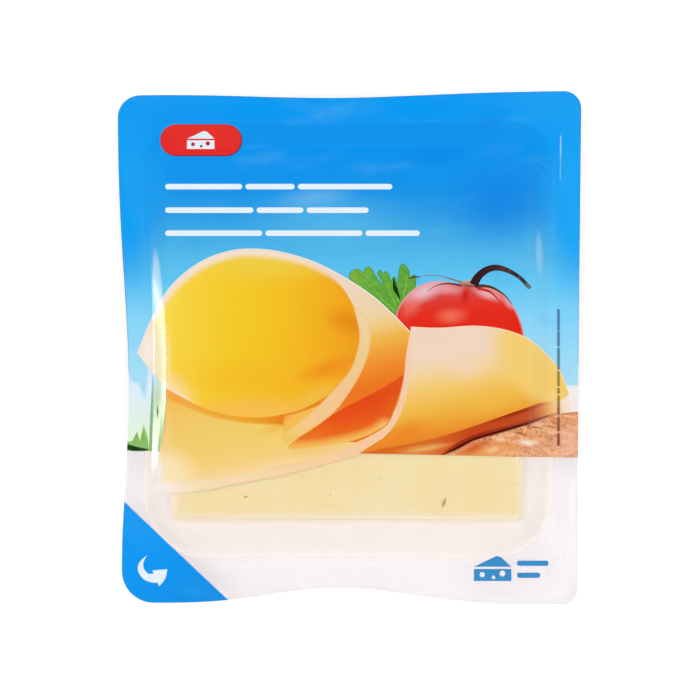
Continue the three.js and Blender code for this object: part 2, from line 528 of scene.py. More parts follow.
def blend(start, end, stops):  # colours that change along a straight line: at each share of it, a colour
    return {"start": start, "end": end, "stops": stops}


def plainBlend(hexColour):
    return blend((0, 0), (0, 10), {0: hexColour, 1: hexColour})


def addBlend(tree, place, look):
    x, y = np.subtract(look["end"], look["start"]).tolist()
    local = addLocal(tree, place, look["start"], (math.hypot(x, y), 1 / mm), math.atan2(y, x))
    line = addNode(tree, "TexGradient", {"gradient_type": "LINEAR"}, {"Vector": local})
    ramp = addNode(tree, "ValToRGB", None, {"Fac": line.outputs["Fac"]})
    setStops(ramp.color_ramp, look["stops"])
    return ramp.outputs["Color"]


def spot(at, radii, colour, strength=1, turn=0, soft=1):  # a soft oval of another colour, turned by degrees
    return {"at": at, "radii": radii, "colour": colour, "strength": strength, "turn": turn, "soft": soft}


def addSpot(tree, place, colour, look):
    local = addLocal(tree, place, look["at"], look["radii"], math.radians(look["turn"]))
    ball = addNode(tree, "TexGradient", {"gradient_type": "SPHERICAL"}, {"Vector": local})
    return mixSoftly(tree, ball, (0, look["soft"]), (0, look["strength"]), colour, look["colour"])


def edgeBand(colour, width, strength):  # a soft band along the shape's own outline
    return {"colour": colour, "width": width, "strength": strength}


def addEdge(tree, colour, look):
    inset = addNode(tree, "Attribute", {"attribute_name": "inset"})
    return mixSoftly(tree, inset, (0, look["width"]), (look["strength"], 0), colour, look["colour"])


# An uneven pattern with its own size and stretch: it starts and is full at the two values of the noise
def grain(size, colour, strength, turn=0, between=(0.45, 0.7)):
    return {"size": size, "colour": colour, "strength": strength, "turn": turn, "between": between}


def addGrain(tree, place, colour, look):
    local = addLocal(tree, place, (0, 0), look["size"], math.radians(look["turn"]))
    noise = addNode(tree, "TexNoise", {"Scale": 1, "Detail": 3, "Roughness": 0.55}, {"Vector": local})
    return mixSoftly(tree, noise, look["between"], (0, look["strength"]), colour, look["colour"])


def makeInk(name, look):
    # Gravure ink under clear OPP film: even, slightly mottled colour with no texture, under a wet gloss.
    material, tree, place = newMaterial(name)
    colour = addBlend(tree, place, look["blend"])
    for part in look.get("grains", []):
        colour = addGrain(tree, place, colour, part)
    for part in look.get("spots", []):
        colour = addSpot(tree, place, colour, part)
    if "edge" in look:
        colour = addEdge(tree, colour, look["edge"])
    mottle = addNode(tree, "TexNoise", {"Scale": 1 / (inkedFilm["mottleSize"] * mm), "Detail": 2},
                     {"Vector": place})
    colour = mixColour(tree, inkedFilm["mottle"], colour, mottle.outputs["Color"], "SOFT_LIGHT")
    surface = addNode(tree, "BsdfPrincipled", {"Roughness": inkedFilm["roughness"], "IOR": inkedFilm["ior"]},
                      {"Base Color": colour, "Normal": addRipples(tree, place, inkedFilm)})
    return showSurface(material, tree, surface.outputs[0])


# The printed picture, from the back to the front. Outlines are in millimetres from the pack's middle, as seen
# from above, in smooth runs that meet at sharp corners. Only shapes marked belowEdge go on under the print's
# edge. An ink is mixed as its first shape says, and its edge is a band along edgeLine or the whole outline.

printEdge = [(-100, -41.3), (0, -42.2), (100, -44.3)]

skyShapes = [{
    "ink": "skyInk", "outline": [[(100, 110), (-100, 110)], [printEdge[0]], printEdge[1:]],
    "blend": blend((0, 102), (0, -44), {
        0: "#0A9CF5", 0.16: "#0994EF", 0.27: "#1694E9", 0.34: "#2F9EE4", 0.39: "#43ACE6",
        0.45: "#54BAEA", 0.52: "#61C6F3", 0.62: "#84D4F8", 0.78: "#A8E0F7", 1: "#DDF0FA"}),
    "spots": [
        spot((-6, 50), (44, 17), "#5FBEEA", 0.55, -4),
        spot((-14, 60), (20, 6), "#86C6EC", 0.4, 6),
        spot((60, 58), (30, 24), "#0F83E4", 0.75, 12),
        spot((34, 77), (26, 7), "#0C88E6", 0.6, 4),
        spot((56, 90), (14, 4), "#0E8CEA", 0.5, 40),
        spot((96, 60), (26, 48), "#14A5F7", soft=0.7),
        spot((-94, 62), (28, 52), "#12A0F3", soft=0.7),
        spot((82, 92), (26, 22), "#13A3F6", 0.7),
        # The next two narrow pale bands are painted highlights: they stand for gloss lines along the film's left
        # and right slopes
        spot((-76.8, 25), (2.1, 17), "#E6EFF5", 0.45, 4, 0.5),
        spot((76, 37), (2, 12), "#93CDF0", 0.6, 2, 0.7),
    ],
    "grains": [
        grain((34, 12), "#6EC0EE", 0.22, 12, (0.52, 0.8)),
        grain((16, 9), "#0C84E4", 0.2, -10, (0.52, 0.8)),
    ],
    "edgeLine": makeLoop(pack["outline"], 6, 30)[20:],  # from low on the right side all the way round
    "edge": edgeBand("#0B7ABF", 0.5, 0.55),
}]

meadowShapes = [
    {"ink": "hazeInk", "outline": [
        [(-96, -9), (-88.6, -9.6)], [(-86.4, -13.4), (-84.2, -13.4)], [(-82.3, -19.2)],
        [(-81.6, -13), (-80.8, -6)], [(-70, -8), (-70, -46), (-96, -46)]],
     "blend": blend((0, -8), (0, -42), {
         0: "#CFE9FB", 0.25: "#DDEFFC", 0.5: "#DFF0EC", 0.75: "#E3F1DC", 1: "#E6F2E0"}),
     "spots": [spot((-75.4, -28), (4.4, 22), "#BBD398", 0.95, 2, 0.7)],
     "edge": edgeBand("#B5DEF6", 1.6, 0.7)},
    {"ink": "grassInk", "outline": [
        [(-92, -46), (-91, -37)], [(-87.6, -37.6), (-85.2, -33.6)], [(-84, -37.4)],
        [(-82.6, -30.8)], [(-81, -36), (-80.2, -46)]],
     "blend": blend((0, -31), (0, -42), {0: "#9FCC74", 0.5: "#88C159", 1: "#9DB98A"}),
     "grains": [grain((0.9, 9), "#6FAE4A", 0.7, 4)]},
    {"ink": "grassShadeInk", "outline": [
        [(-92, -37.6), (-86.5, -39.4), (-80, -40.8)], [(-84, -41.7), (-88, -41.2), (-92, -39.4)]],
     "blend": blend((-92, 0), (-80, 0), {0: "#33591F", 0.5: "#183A0C", 1: "#2E5A20"})},
    {"ink": "stalkInk", "line": [(-78.4, -11), (-79, -24), (-80, -46)], "widths": (1.2, 1.4, 1.3),
     "blend": blend((0, -12), (0, -42), {0: "#A5D0E6", 0.3: "#86B795", 1: "#8CBB66"})},
    {"ink": "stalkShadeInk", "line": [(-76.9, -23.4), (-76.8, -25.6), (-76.9, -28)], "widths": (0.3, 0.9, 0.3),
     "blend": plainBlend("#46524A")},
    {"ink": "stalkInk", "line": [(-75.2, -27), (-75.6, -34), (-76.6, -46)], "widths": (0.5, 1, 1.9)},
]

breadShapes = [
    {"ink": "tableHazeInk", "outline": [[(80, -15), (100, -15)], [(100, -32)], [(80, -32)]],
     "blend": blend((0, -14), (0, -27), {0: "#CDE9F8", 0.2: "#F3EEEE", 1: "#F8E9E4"})},
    {"ink": "undersideInk", "outline": [
        [(64, -18), (84, -18)], [(88, -20.4), (89.5, -26.4)], [(70, -34), (44, -46)],
        [(-2, -46)], [(10, -36), (30, -30), (64, -18)]],
     "blend": blend((90, -21), (6, -42), {
         0: "#F6EBE6", 0.05: "#F4DFCC", 0.09: "#F2C586", 0.13: "#E9A45C", 0.165: "#D67A44", 0.2: "#BF5526",
         0.28: "#C14A1E", 0.5: "#C44617", 0.62: "#D25C22", 0.76: "#E0873C", 0.88: "#DD6A20", 1: "#DA6A1C"}),
     "spots": [
         spot((66, -26), (19, 2), "#9C2A08", 0.95, 18),
         spot((31, -40.2), (14, 1.7), "#E8AC64", 0.9, 10),
         spot((26, -38.6), (20, 1.1), "#D85C1A", 0.9, 11)]},
    {"ink": "breadHalfShadowInk", "line": [
        (84, -26), (72, -29.4), (60, -32.9), (50, -35.9), (43, -39.2), (37, -43.4)],
     "widths": (0.3, 1.1, 1.8, 2.2, 2.2, 1.5), "blend": blend((84, -26), (37, -43), {
         0: "#CC8A60", 0.2: "#A4432A", 0.7: "#9C2E14", 1: "#A2380C"})},
    {"ink": "breadShadowInk", "line": [
        (80, -27.2), (72, -30), (60, -33.6), (50, -36.6), (43, -40.2), (37.5, -43.6)],
     "widths": (0.2, 0.8, 1.3, 1.4, 1.4, 1.4), "blend": blend((80, -27), (38, -43), {
         0: "#8A3018", 0.3: "#4E1007", 0.7: "#641206", 1: "#520E03"})},
    {"ink": "breadInk", "outline": [
        [(104, -25.6), (92, -25.7), (82, -27), (72, -30.4), (60, -34), (50, -37), (43, -40.6), (37, -43)],
        [(38, -48), (104, -48)]],
     "blend": blend((70, -30), (74, -44), {0: "#D07C50", 0.3: "#E2965E", 1: "#E3A070"}),
     "grains": [
         grain((7, 2.6), "#F3B887", 0.8, -8, (0.46, 0.6)),
         grain((5, 1.5), "#AC5430", 0.6, -14, (0.55, 0.63)),
         grain((1.2, 0.8), "#F8D8C2", 0.55, 30, (0.55, 0.65)),
         grain((1.3, 0.9), "#B05A3A", 0.55, -30, (0.57, 0.66))],
     "spots": [
         spot((53, -42), (21, 6), "#EA9752", 0.85, 8),
         spot((71, -38), (6.5, 1.8), "#FBE6D2", 0.9, -6),
         spot((60.5, -36.6), (4, 1.3), "#F6CFA6", 0.8, 10),
         spot((57.5, -40.8), (5, 1.9), "#F7CC92", 0.7, 15),
         spot((68.2, -34.2), (2.4, 0.9), "#8A3C22", 0.8, -20),
         spot((75, -31.9), (4.4, 0.7), "#A84A2A", 0.7, -8),
         spot((68.6, -35.3), (2.8, 0.6), "#F6CDA4", 0.8, -16),
         spot((75.4, -31), (4, 0.5), "#EFB48E", 0.8, -8),
         spot((50, -40), (10, 3), "#D2581F", 0.9, 24),
         spot((90, -38), (13, 12), "#EDBBA4", 0.55)],
     "edge": edgeBand("#A05A3A", 0.7, 0.7)},
]

parsleyVeins = [
    [(6, 26.8), (10, 23), (14, 18.4), (18.4, 14.6)], [(14.4, 27), (16, 22.4), (18.6, 17)],
    [(22.6, 30), (22.6, 25.4), (21.4, 20)]]
parsleyShapes = [
    {"ink": "parsleyInk", "outline": [
        [(3, 23), (0.4, 26.6), (-0.3, 29), (0.5, 30.6), (2.6, 31.6), (4.3, 31.3), (5.4, 29.9)],
        [(6, 31.7), (7.4, 32.6), (9, 31.7), (10, 29.8), (11, 28), (13.4, 25)],
        [(12.2, 27.6), (11, 29.6), (11.4, 30.8), (12.5, 31.2), (13.3, 29.7)],
        [(14.4, 30.8), (15.6, 29.8), (16.2, 28.4), (16.3, 26.8)],
        [(17, 27.8), (17.9, 28.6), (18.6, 27.8), (19.2, 25), (20, 21), (21, 17.5)],
        [(18, 11), (3, 23)]],
     "blend": blend((1, 29), (17, 16), {
         0: "#84AC3A", 0.25: "#6BAE42", 0.5: "#65A63C", 1: "#62A338"}),
     "grains": [grain((1.4, 6), "#4C9032", 0.5, 48, (0.48, 0.64)),
                grain((3, 2), "#86C050", 0.4, between=(0.5, 0.66))],
     "edge": edgeBand("#3E8A4C", 0.7, 0.7)},
    {"ink": "parsleyInk", "outline": [
        [(19.6, 20), (19.1, 24), (19.3, 27.4)], [(19.6, 30.4), (20.3, 33), (21.3, 33.8)],
        [(22.9, 32.6), (24, 30.6), (24.1, 28.2)], [(25, 29), (26.3, 29.4), (26.7, 27), (26.3, 23.6)],
        [(24, 21), (21, 17.5), (19.6, 20)]]},
    {"ink": "parsleyShadeInk", "line": [(17.6, 28), (18.2, 24), (20.2, 19.4)], "widths": (0.3, 1.9, 0.3),
     "blend": plainBlend("#16360E")},
    *[{"ink": "parsleyVeinInk", "line": vein, "widths": (0.1, 0.3, 0.45), "blend": plainBlend("#82C250")}
      for vein in parsleyVeins],
]

tomatoShapes = [
    {"ink": "tomatoInk", "outline": [
        [(18, 11), (20, 17), (25, 23), (31, 26), (37, 26.6), (44.5, 25.4)],
        [(51.5, 24.9), (58, 23.3), (63.4, 19.4), (67.6, 12.6), (69.8, 4.5), (69, -3)],
        [(20, 0)], [(18, 11)]],
     "blend": blend((42, 26), (44, 6), {
         0: "#D4606A", 0.22: "#D94740", 0.42: "#E0362A", 0.7: "#E42A1C", 1: "#E32614"}),
     "spots": [
         spot((30, 22.6), (14, 5.2), "#EBC3CA", 0.95, 24),
         spot((39, 23.4), (10, 3.2), "#E5A0A6", 0.8, -4),
         spot((24.6, 16), (5, 8), "#EE7466", 0.7, -34),
         spot((55.5, 21.6), (9, 3.3), "#EBB6BC", 0.95, -20),
         spot((63.4, 18), (2.2, 4.5), "#E9B8C2", 0.7, 38),
         spot((40.5, 12.6), (9, 4.6), "#F2765C", 0.8, 4),
         spot((58, 12), (12, 10), "#E52A1C", 0.7),
         spot((28, 11), (12, 5), "#E62C1A", 0.8),
         spot((46.4, 21), (2.6, 5.4), "#CF1F16", turn=-8)],
     "edge": edgeBand("#EBB9BE", 1, 0.55)},
    {"ink": "sepalInk", "line": [(45.6, 25.9), (38, 28.2), (32, 29), (27.6, 28.4)], "widths": (0.9, 0.4, 0.2),
     "blend": plainBlend("#8A7E62")},
    {"ink": "sepalShadeInk", "line": [(28.4, 28.3), (25.6, 28.2), (23.4, 27.6)], "widths": (0.3, 0.8, 0.2),
     "blend": plainBlend("#59362C")},
    {"ink": "sepalShadeInk", "line": [(45, 24.9), (39, 25.7), (34.4, 24.6), (31, 22.6)],
     "widths": (0.9, 0.5, 0.15)},
    {"ink": "cleftInk", "line": [(51, 23.8), (56.4, 22.2), (60.6, 18)], "widths": (1.1, 0.9, 0.2),
     "blend": plainBlend("#C52A22")},
    {"ink": "sepalShadeInk", "line": [(50, 24.7), (56, 24.4), (61.4, 21.5), (65, 17.3)],
     "widths": (1.5, 0.9, 0.2)},
    {"ink": "calyxInk", "outline": [
        [(43.6, 25.6), (46.6, 27), (50.2, 26.7)], [(50.4, 24.6), (46.5, 24.5), (43.6, 25.6)]],
     "blend": blend((0, 27), (0, 24.4), {0: "#C9AC8C", 0.6: "#A87C66", 1: "#5E2A28"})},
    {"ink": "tomatoStemInk", "line": [
        (49.6, 25.2), (51.6, 28.6), (55, 31.2), (59, 32), (63.4, 30.8), (68, 28.1), (72.2, 23.8)],
     "widths": (3.6, 3, 2.6, 2.2, 1.7, 1.5, 1.6),
     "blend": blend((50, 24), (72, 24), {
         0: "#33181E", 0.4: "#43262A", 0.6: "#5C3C3A", 0.85: "#57504C", 1: "#6E7A70"}),
     "edge": edgeBand("#22131A", 0.5, 0.7)},
]

# The rolled slice: its outline, and the edge and the lip of its opening
silhouette = [
    (-85.3, -2.5), (-79.8, 11), (-71.6, 24.6), (-60, 34.2), (-47, 39), (-33, 39.3), (-18, 35.9), (-5, 30),
    (8, 21.8), (17, 14), (24.2, 6.6)]
mouthTop = [
    (-84.8, -2.4), (-79.4, 11), (-71.4, 24), (-60, 33.2), (-47, 38.1), (-33, 38.4), (-18, 34.6), (-6, 27.6)]
mouthLip = [(-18, -24), (-32, -27.6), (-45, -27.4), (-58, -24.2), (-73.2, -16.4)]

sliceFront = [(-77.5, -57), (-66, -58), (-50, -55.4), (-30, -51.4), (-10, -46.6), (1.6, -43.6)]
lowerSliceShapes = [{
    "ink": "lowerSliceInk", "belowEdge": True, "outline": [
        [(-73, -13), (-73.6, -23), (-75.2, -36), (-76.4, -46), (-77.5, -57)], sliceFront[1:],
        [(8, -36), (-20, -20)]],
    "edgeLine": sliceFront[1:],
    "blend": blend((-56, -16), (-48, -57), {
        0: "#F3B94E", 0.16: "#F3C260", 0.4: "#F2CC6A", 0.62: "#F4CE70", 0.76: "#F6D182", 0.9: "#F8D9A4",
        1: "#F8DDB4"}),
    "spots": [
        spot((-78, -34), (9, 28), "#F9D6A2", 0.9, 3),
        spot((-73, -51), (16, 14), "#F9E6B6", 0.9, soft=0.8),
        spot((-84, -51), (13, 13), "#F7EDE9", soft=0.55),
        spot((-74.4, -28), (1.8, 16), "#D3B866", 0.8, -3, 0.8),
        spot((-14, -40), (20, 4.5), "#F4C674", 0.8, 8),
        spot((-30, -32), (9, 3), "#EFB64E", 0.7, 20)],
    "edge": edgeBand("#F6CFA0", 0.6, 0.8),
}]

foldLine = [(22, -10.5), (15, -15), (5, -20.4), (-5, -25.6), (-15, -32.6), (-24, -38.6)]
rollShapes = [
    {"ink": "rollShadowInk", "outline": [
        [(-73.4, -13), (-73.6, -20.4)], [(-64, -24.4), (-54, -28), (-44, -29.9), (-34, -30.8), (-26, -31.4)],
        [(-25.4, -24), (-40, -18)]],
     "blend": blend((-73, -20), (-26, -24), {
         0: "#F6A548", 0.3: "#F0A83C", 0.6: "#EEA62E", 0.85: "#EC9620", 1: "#E5801A"}),
     "edge": edgeBand("#F2B64A", 1.3, 0.85)},
    {"ink": "rollOutsideInk", "outline": [
        silhouette, [(26, -6), (24, -20), (16, -33), (4, -38)], [(-20, -36), (-27.2, -36)],
        [(-26.2, -31), (-26.4, -26)], [(-50, -10), (-85.3, -2.5)]],
     "edgeLine": silhouette,
     "blend": blend((4, 26), (14, -14), {
         0: "#EFD6C0", 0.32: "#EFD2A8", 0.45: "#F0CC84", 0.56: "#F0B850", 0.7: "#EFA13A", 0.85: "#EE8A2C",
         1: "#EE7622"}),
     "spots": [
         spot((-18, -30), (20, 10), "#F6BC54", turn=36, soft=0.6),
         spot((-83, 0), (9, 16), "#F6DED8", turn=-24)],
     "edge": edgeBand("#F5EBE8", 0.9, 0.8)},
    {"ink": "lipShadowInk", "line": [(-7.6, -19), (-13, -22.4), (-20, -25.4), (-27, -27.4)],
     "widths": (2.6, 1.6, 0.8, 0.3), "blend": plainBlend("#E58A24")},
    {"ink": "rollInsideInk", "outline": [
        mouthTop + [(1.6, 16.4), (3.9, 3.4), (0.4, -8.6), (-8.4, -19)], mouthLip,
        [(-80.9, -7.8), (-84.8, -2.4)]],
     "edgeLine": [(-66, -22), (-74, -17.2), (-81, -8.6), (-85.3, -2.4), *mouthTop[1:6], (-18, 35.4), (-6, 30),
                  (3, 23.5)],
     "blend": blend((-80, 6), (6, -4), {
         0: "#F9DC58", 0.14: "#F7D240", 0.35: "#F4CA2A", 0.6: "#F4BF24", 0.85: "#F2AA20", 1: "#EE9A1C"}),
     "spots": [
         spot((-34, 34), (44, 11), "#EFD04A", 0.75),
         spot((-34, -12), (48, 12), "#F5B826", 0.7),
         spot((1, 10), (15, 8), "#E88C16", turn=-16),
         spot((-7, -8), (20, 6), "#F0921E", turn=16),
         spot((-38, -26), (36, 9), "#F7BC4E", soft=0.8),
         spot((-14, -19.5), (15, 5), "#F3BF48", 0.9, 28),
         spot((-75, -17.5), (19, 12), "#FBDDA8", turn=-30),
         spot((-78, -4), (8, 24), "#FBE9BA", 0.95, 2, 0.7),
         spot((-84, -4), (9, 18), "#F8ECE2", turn=-10, soft=0.7)],
     "edge": edgeBand("#F6E2D2", 3.9, 1)},
    {"ink": "foldInsideInk", "outline": [
        foldLine, [(-24.8, -40), (-22, -40.6)], [(-12, -39.4), (0, -37.4), (8, -34.8)],
        [(16, -29.4), (20.4, -20), (22, -10.5)]],
     "edgeLine": [(-24, -40.4), (-12, -39.4), (0, -37.2), (9, -34.4), (14, -31)],
     "blend": blend((4, -18), (8, -38), {
         0: "#E25218", 0.15: "#E14A16", 0.45: "#E8531A", 0.7: "#EC661E", 1: "#EE7A24"}),
     "spots": [
         spot((-16, -36), (15, 5), "#EC7220", 0.9, 30),
         spot((16, -24), (5, 10), "#E4641E", 0.6, -20)],
     "edge": edgeBand("#F5BA5A", 4.4, 1)},
    {"ink": "firstCutInk", "outline": [
        [(1.4, 17), (3.4, 9), (4, 3.4), (0.4, -8.6), (-8.4, -19), (-16, -26.6), (-26.4, -34.2)],
        [(-27.4, -36.4), (-25, -38.4)],
        [(-16, -33), (-5.6, -25), (2.4, -14), (7.2, -3.6), (8.4, 5), (6.4, 13), (1.4, 17)]],
     "blend": blend((6, 10), (-25, -36), {
         0: "#EFD2A2", 0.25: "#EECB8C", 0.5: "#F2C690", 0.78: "#F5C88E", 0.92: "#F4C97A", 1: "#F2C666"}),
     "edge": edgeBand("#F2BE70", 0.9, 0.5)},
]

rightCut = [
    (24.6, 8.2), (22.6, -3), (21.4, -14), (18, -25), (12, -32.8), (3, -37.7), (-10, -42.4), (-30, -47.8),
    (-50, -52), (-77.5, -54.6)]
rightTop = [(24.4, 8.4), (36, 8), (50, 8.8), (62, 7.3), (72, 3.4), (79.5, -3), (85, -10), (88.2, -18.8)]
rightSliceShapes = [
    {"ink": "secondCutInk", "belowEdge": True, "outline": [
        rightCut, [(-77.8, -57)],
        [(-66, -58), (-50, -55.4), (-30, -51.4), (-10, -46.6), (0, -43.8), (6.5, -41.2), (14, -35.6), (21, -26),
         (25, -12), (26, 8)], [(24.6, 8.2)]],
     "blend": blend((24, 4), (-76, -57), {
         0: "#F3D3B4", 0.14: "#F6C9A2", 0.32: "#F7CA9C", 0.45: "#F7CFA0", 0.62: "#F7D4A8", 0.8: "#F8DAB0",
         0.88: "#F7DFB4", 0.94: "#F8E4CA", 1: "#F9ECE2"}),
     "spots": [spot((-81, -56), (14, 10), "#F9EEE8", soft=0.7)],
     "edgeLine": rightCut[5:8],
     "edge": edgeBand("#F5CE86", 1.8, 0.7)},
    {"ink": "rightSliceInk", "outline": [
        rightTop, [(84, -21.2), (76.5, -22)], [(64, -26.3), (50, -31.2), (36, -35.6), (20, -39), (3.6, -42.4)],
        [(14, -35.6), (20.6, -26), (24.4, -12), (25, 0), (24.4, 8.4)]],
     "edgeLine": rightTop,
     "blend": blend((34, 9), (42, -36), {
         0: "#F0D4C0", 0.28: "#F2D7C0", 0.42: "#F3D29A", 0.55: "#F3C96C", 0.7: "#F0BB4C", 0.82: "#EEA838",
         0.92: "#EC922E", 1: "#E87C24"}),
     "spots": [
         spot((46, -7), (13, 8), "#F3D6B8", 0.8, -10),
         spot((78, -4), (28, 19), "#F3CE72", turn=-34, soft=0.45),
         spot((78, -14), (18, 11), "#F5CB66", 0.9, -32),
         spot((22, -35), (15, 7), "#EE8624", 0.9, 26),
         spot((56, -21), (16, 8), "#F2B848", 0.6, 16),
         spot((82, -20), (9, 3.5), "#F7D184", 0.8, -8)],
     "edge": edgeBand("#F8E6CC", 0.9, 0.6)},
    {"ink": "cutShadeInk", "line": [(22.2, -7), (21.2, -14), (18.7, -22), (15.9, -29.2), (12, -32.9), (8, -35)],
     "widths": (0.1, 0.4, 0.5, 0.5, 0.2), "blend": plainBlend("#DC8636")},
    {"ink": "cutShadeInk", "line": [(18, -33.2), (14, -36), (10, -38.5), (6, -41)],
     "widths": (0.1, 0.35, 0.4, 0.3)},
    {"ink": "cutShadeInk", "line": [(-4, -24.4), (-10, -29.2), (-16, -33.4), (-22, -37)],
     "widths": (0.1, 0.35, 0.35, 0.1)},
    {"ink": "cutLineInk", "belowEdge": True, "line": [
        (-3, -44.7), (-16, -48.2), (-30, -51.6), (-45, -54.4), (-57, -56.8), (-70, -58)],
     "widths": (0.2, 0.5, 0.5, 0.5, 0.2), "blend": blend((-3, 0), (-70, 0), {
         0: "#F3CC94", 0.6: "#EFD0A0", 0.9: "#F0DAB8", 1: "#F6E6DA"})},
]


def wedgeSign(at, size):  # a plain sign for cheese: a wedge with round holes
    def place(points):
        return np.array(at) + size * np.array(points)
    front = place([(-0.5, -0.34), (0.5, -0.34), (0.5, -0.02), (-0.5, -0.02)])
    top = place([(-0.5, 0.04), (0.5, 0.04), (0.22, 0.3), (0.1, 0.33)])
    holes = [discOutline(place([middle])[0], size * radius) for middle, radius in (
        ((-0.28, -0.17), 0.07), ((0.02, -0.24), 0.05), ((0.26, -0.14), 0.08))]
    return front, top, holes


# Plain marks on the print: bars, dashes and signs that say nothing
plainMarks = {
    "barHeight": 2.2,
    "barLines": [  # height on the pack, then where each bar starts and ends
        (64.4, [(-72.6, -44), (-40.5, -23), (-19.5, 16)]),
        (55.0, [(-72.6, -39.5), (-36, -19.5), (-16, 6.5)]),
        (45.8, [(-72.6, -36), (-32.5, 4), (7.5, 27)]),
    ],
    "pill": {"start": (-69.5, 83.2), "end": (-49.5, 83.2), "width": 12.8},
    "pillShadow": (0.3, -0.3),
    "pillWedge": {"at": (-59.5, 83.2), "size": 11},
    "windowWedge": {"at": (57.4, -88.4), "size": 15},
    "windowBars": [((68.2, -86.4), (78.8, -86.4)), ((68.2, -91.2), (75.4, -91.2))],
    "windowBarHeight": 2.1,
    "dashX": 83.8,
    "dashWidth": 1.2,
    "dashes": [(15, 7.4), (6.2, 1), (-0.4, -8.4), (-9.8, -15), (-16.6, -18), (-19.6, -26.4), (-28.2, -33),
               (-34.6, -38.8)],
    "peelCorner": [(-100, -52.6), (-40, -109.4), (-100, -109.4)],
}


def markShapes():
    marks = plainMarks
    pill, corner, x = barOutline(**marks["pill"]), marks["peelCorner"], marks["dashX"]
    shapes = [
        {"ink": "labelShadowInk", "points": pill + marks["pillShadow"], "blend": plainBlend("#3F3568")},
        {"ink": "labelRedInk", "points": pill, "blend": blend((0, 90), (0, 76), {0: "#EC342C", 1: "#E42828"}),
         "edge": edgeBand("#B02436", 0.5, 0.8)}]
    for key, ink, under, colour in (("pillWedge", "whiteInk", "labelRedInk", "#E6F2FA"),
                                    ("windowWedge", "signBlueInk", "flangeFilm", "#3C8FCB")):
        front, top, holes = wedgeSign(**marks[key])
        shapes += [{"ink": ink, "points": part, "blend": plainBlend(colour)} for part in (front, top)]
        shapes += [{"ink": under, "points": hole} for hole in holes]
    shapes += [{"ink": "signBlueInk", "points": barOutline(start, end, marks["windowBarHeight"])}
               for start, end in marks["windowBars"]]
    shapes += [{"ink": "whiteInk", "points": barOutline((x0, y), (x1, y), marks["barHeight"])}
               for y, bars in marks["barLines"] for x0, x1 in bars]
    shapes += [
        {"ink": "dashInk", "points": barOutline((x, y0), (x, y1), marks["dashWidth"]),
         "blend": blend((0, 14), (0, -38), {
             0: "#4A86B4", 0.4: "#5E8CA0", 0.46: "#A08C46", 0.7: "#A48448", 0.76: "#9A6440", 1: "#8E5238"})}
        for y0, y1 in marks["dashes"]]
    shapes += [
        {"ink": "peelBlueInk", "outline": [corner[:2], corner[2:]],
         "blend": blend((-90, -62), (-60, -102), {0: "#1299F1", 0.5: "#1298F3", 1: "#128FE6"}),
         "grains": [grain((14, 9), "#2AA4F8", 0.4, between=(0.5, 0.8))]},
        {"ink": "whiteInk", "outline": [
            [(-81.2, -83.2), (-84.2, -86), (-84.8, -89.2), (-82.4, -92.8), (-78.6, -94.2), (-77, -94.1)],
            [(-76.2, -95.6)], [(-73.8, -92.4), (-73, -88.8)], [(-79, -89.2)], [(-78.5, -90.6)],
            [(-80.6, -90.6), (-82.4, -88.6), (-82.6, -86), (-81.2, -83.2)]]},
    ]
    return [{**shape, "belowEdge": True} for shape in shapes]


def pictureShapes():
    shapes = [*skyShapes, *meadowShapes, *breadShapes, *parsleyShapes, *tomatoShapes, *lowerSliceShapes,
              *rollShapes, *rightSliceShapes, *markShapes()]
    for shape in shapes:
        if "outline" in shape:
            shape["points"] = closeRuns(shape["outline"])
        elif "line" in shape:
            shape["points"] = strokeOutline(shape["line"], shape["widths"])
    return shapes


# The lid: one thin sheet, its top split along the outlines of the print

lidLook = {
    "gridStep": 1.4,
    "seamWidth": 0.45,
    "liftAcross": (-6, 4),  # where the film leaves the cheese, from inside to outside its left and right edges
    "liftAlong": (-5.5, 1.5),  # the same at the front edge
    "slopeProbe": 0.4,  # how far to each side a height is taken for the film's slope
    "foldProbe": 0.04,  # the same for the step at the seal, which is steep
    "backWhite": "#F3F5F7",
    "backShade": "#EDF0F3",
    "backMottle": 2.5,  # sizes of the white ink's unevenness across and in depth
    "backTooth": 0.02,
    "backRoughness": 0.45,
}


def filmNormals(points):
    slopes = np.zeros((2, len(points)))
    for form, probe in ((lidUnderside, lidLook["slopeProbe"]), (foldRise, lidLook["foldProbe"])):
        for axis, step in enumerate(np.eye(2) * probe):
            slopes[axis] += (form(points + step) - form(points - step)) / (2 * probe)
    normals = np.column_stack([*-slopes, np.ones(len(points))])
    return normals / np.linalg.norm(normals, axis=1)[:, None]


def liftAt(points):  # 0 where the film lies on the cheese, 1 where it is free of it
    beyond = np.abs(points - stackMiddle) - (pack["sliceWidth"] / 2, pack["sliceLength"] / 2)
    reaches = [smoothstep((beyond[:, axis] - low) / (high - low))
               for axis, (low, high) in enumerate((lidLook["liftAcross"], lidLook["liftAlong"]))]
    return np.maximum(*reaches)


def makeWhiteBack():
    # White gravure ink on the film's inner face, behind the colours: an even, chalky matt white.
    material, tree, place = newMaterial("whiteBackingInk")
    mottle = addNode(tree, "TexNoise", {"Scale": 1 / (lidLook["backMottle"] * mm), "Detail": 3},
                     {"Vector": place})
    ramp = addNode(tree, "ValToRGB", None, {"Fac": mottle.outputs["Fac"]})
    setStops(ramp.color_ramp, {0.3: lidLook["backShade"], 0.7: lidLook["backWhite"]})
    bump = addNode(tree, "Bump", {"Strength": 0.2, "Distance": lidLook["backTooth"] * mm},
                   {"Height": mottle.outputs["Fac"]})
    surface = addNode(tree, "BsdfPrincipled", {"Roughness": lidLook["backRoughness"], "IOR": inkedFilm["ior"]},
                      {"Base Color": ramp.outputs["Color"], "Normal": bump.outputs["Normal"]})
    return showSurface(material, tree, surface.outputs[0])


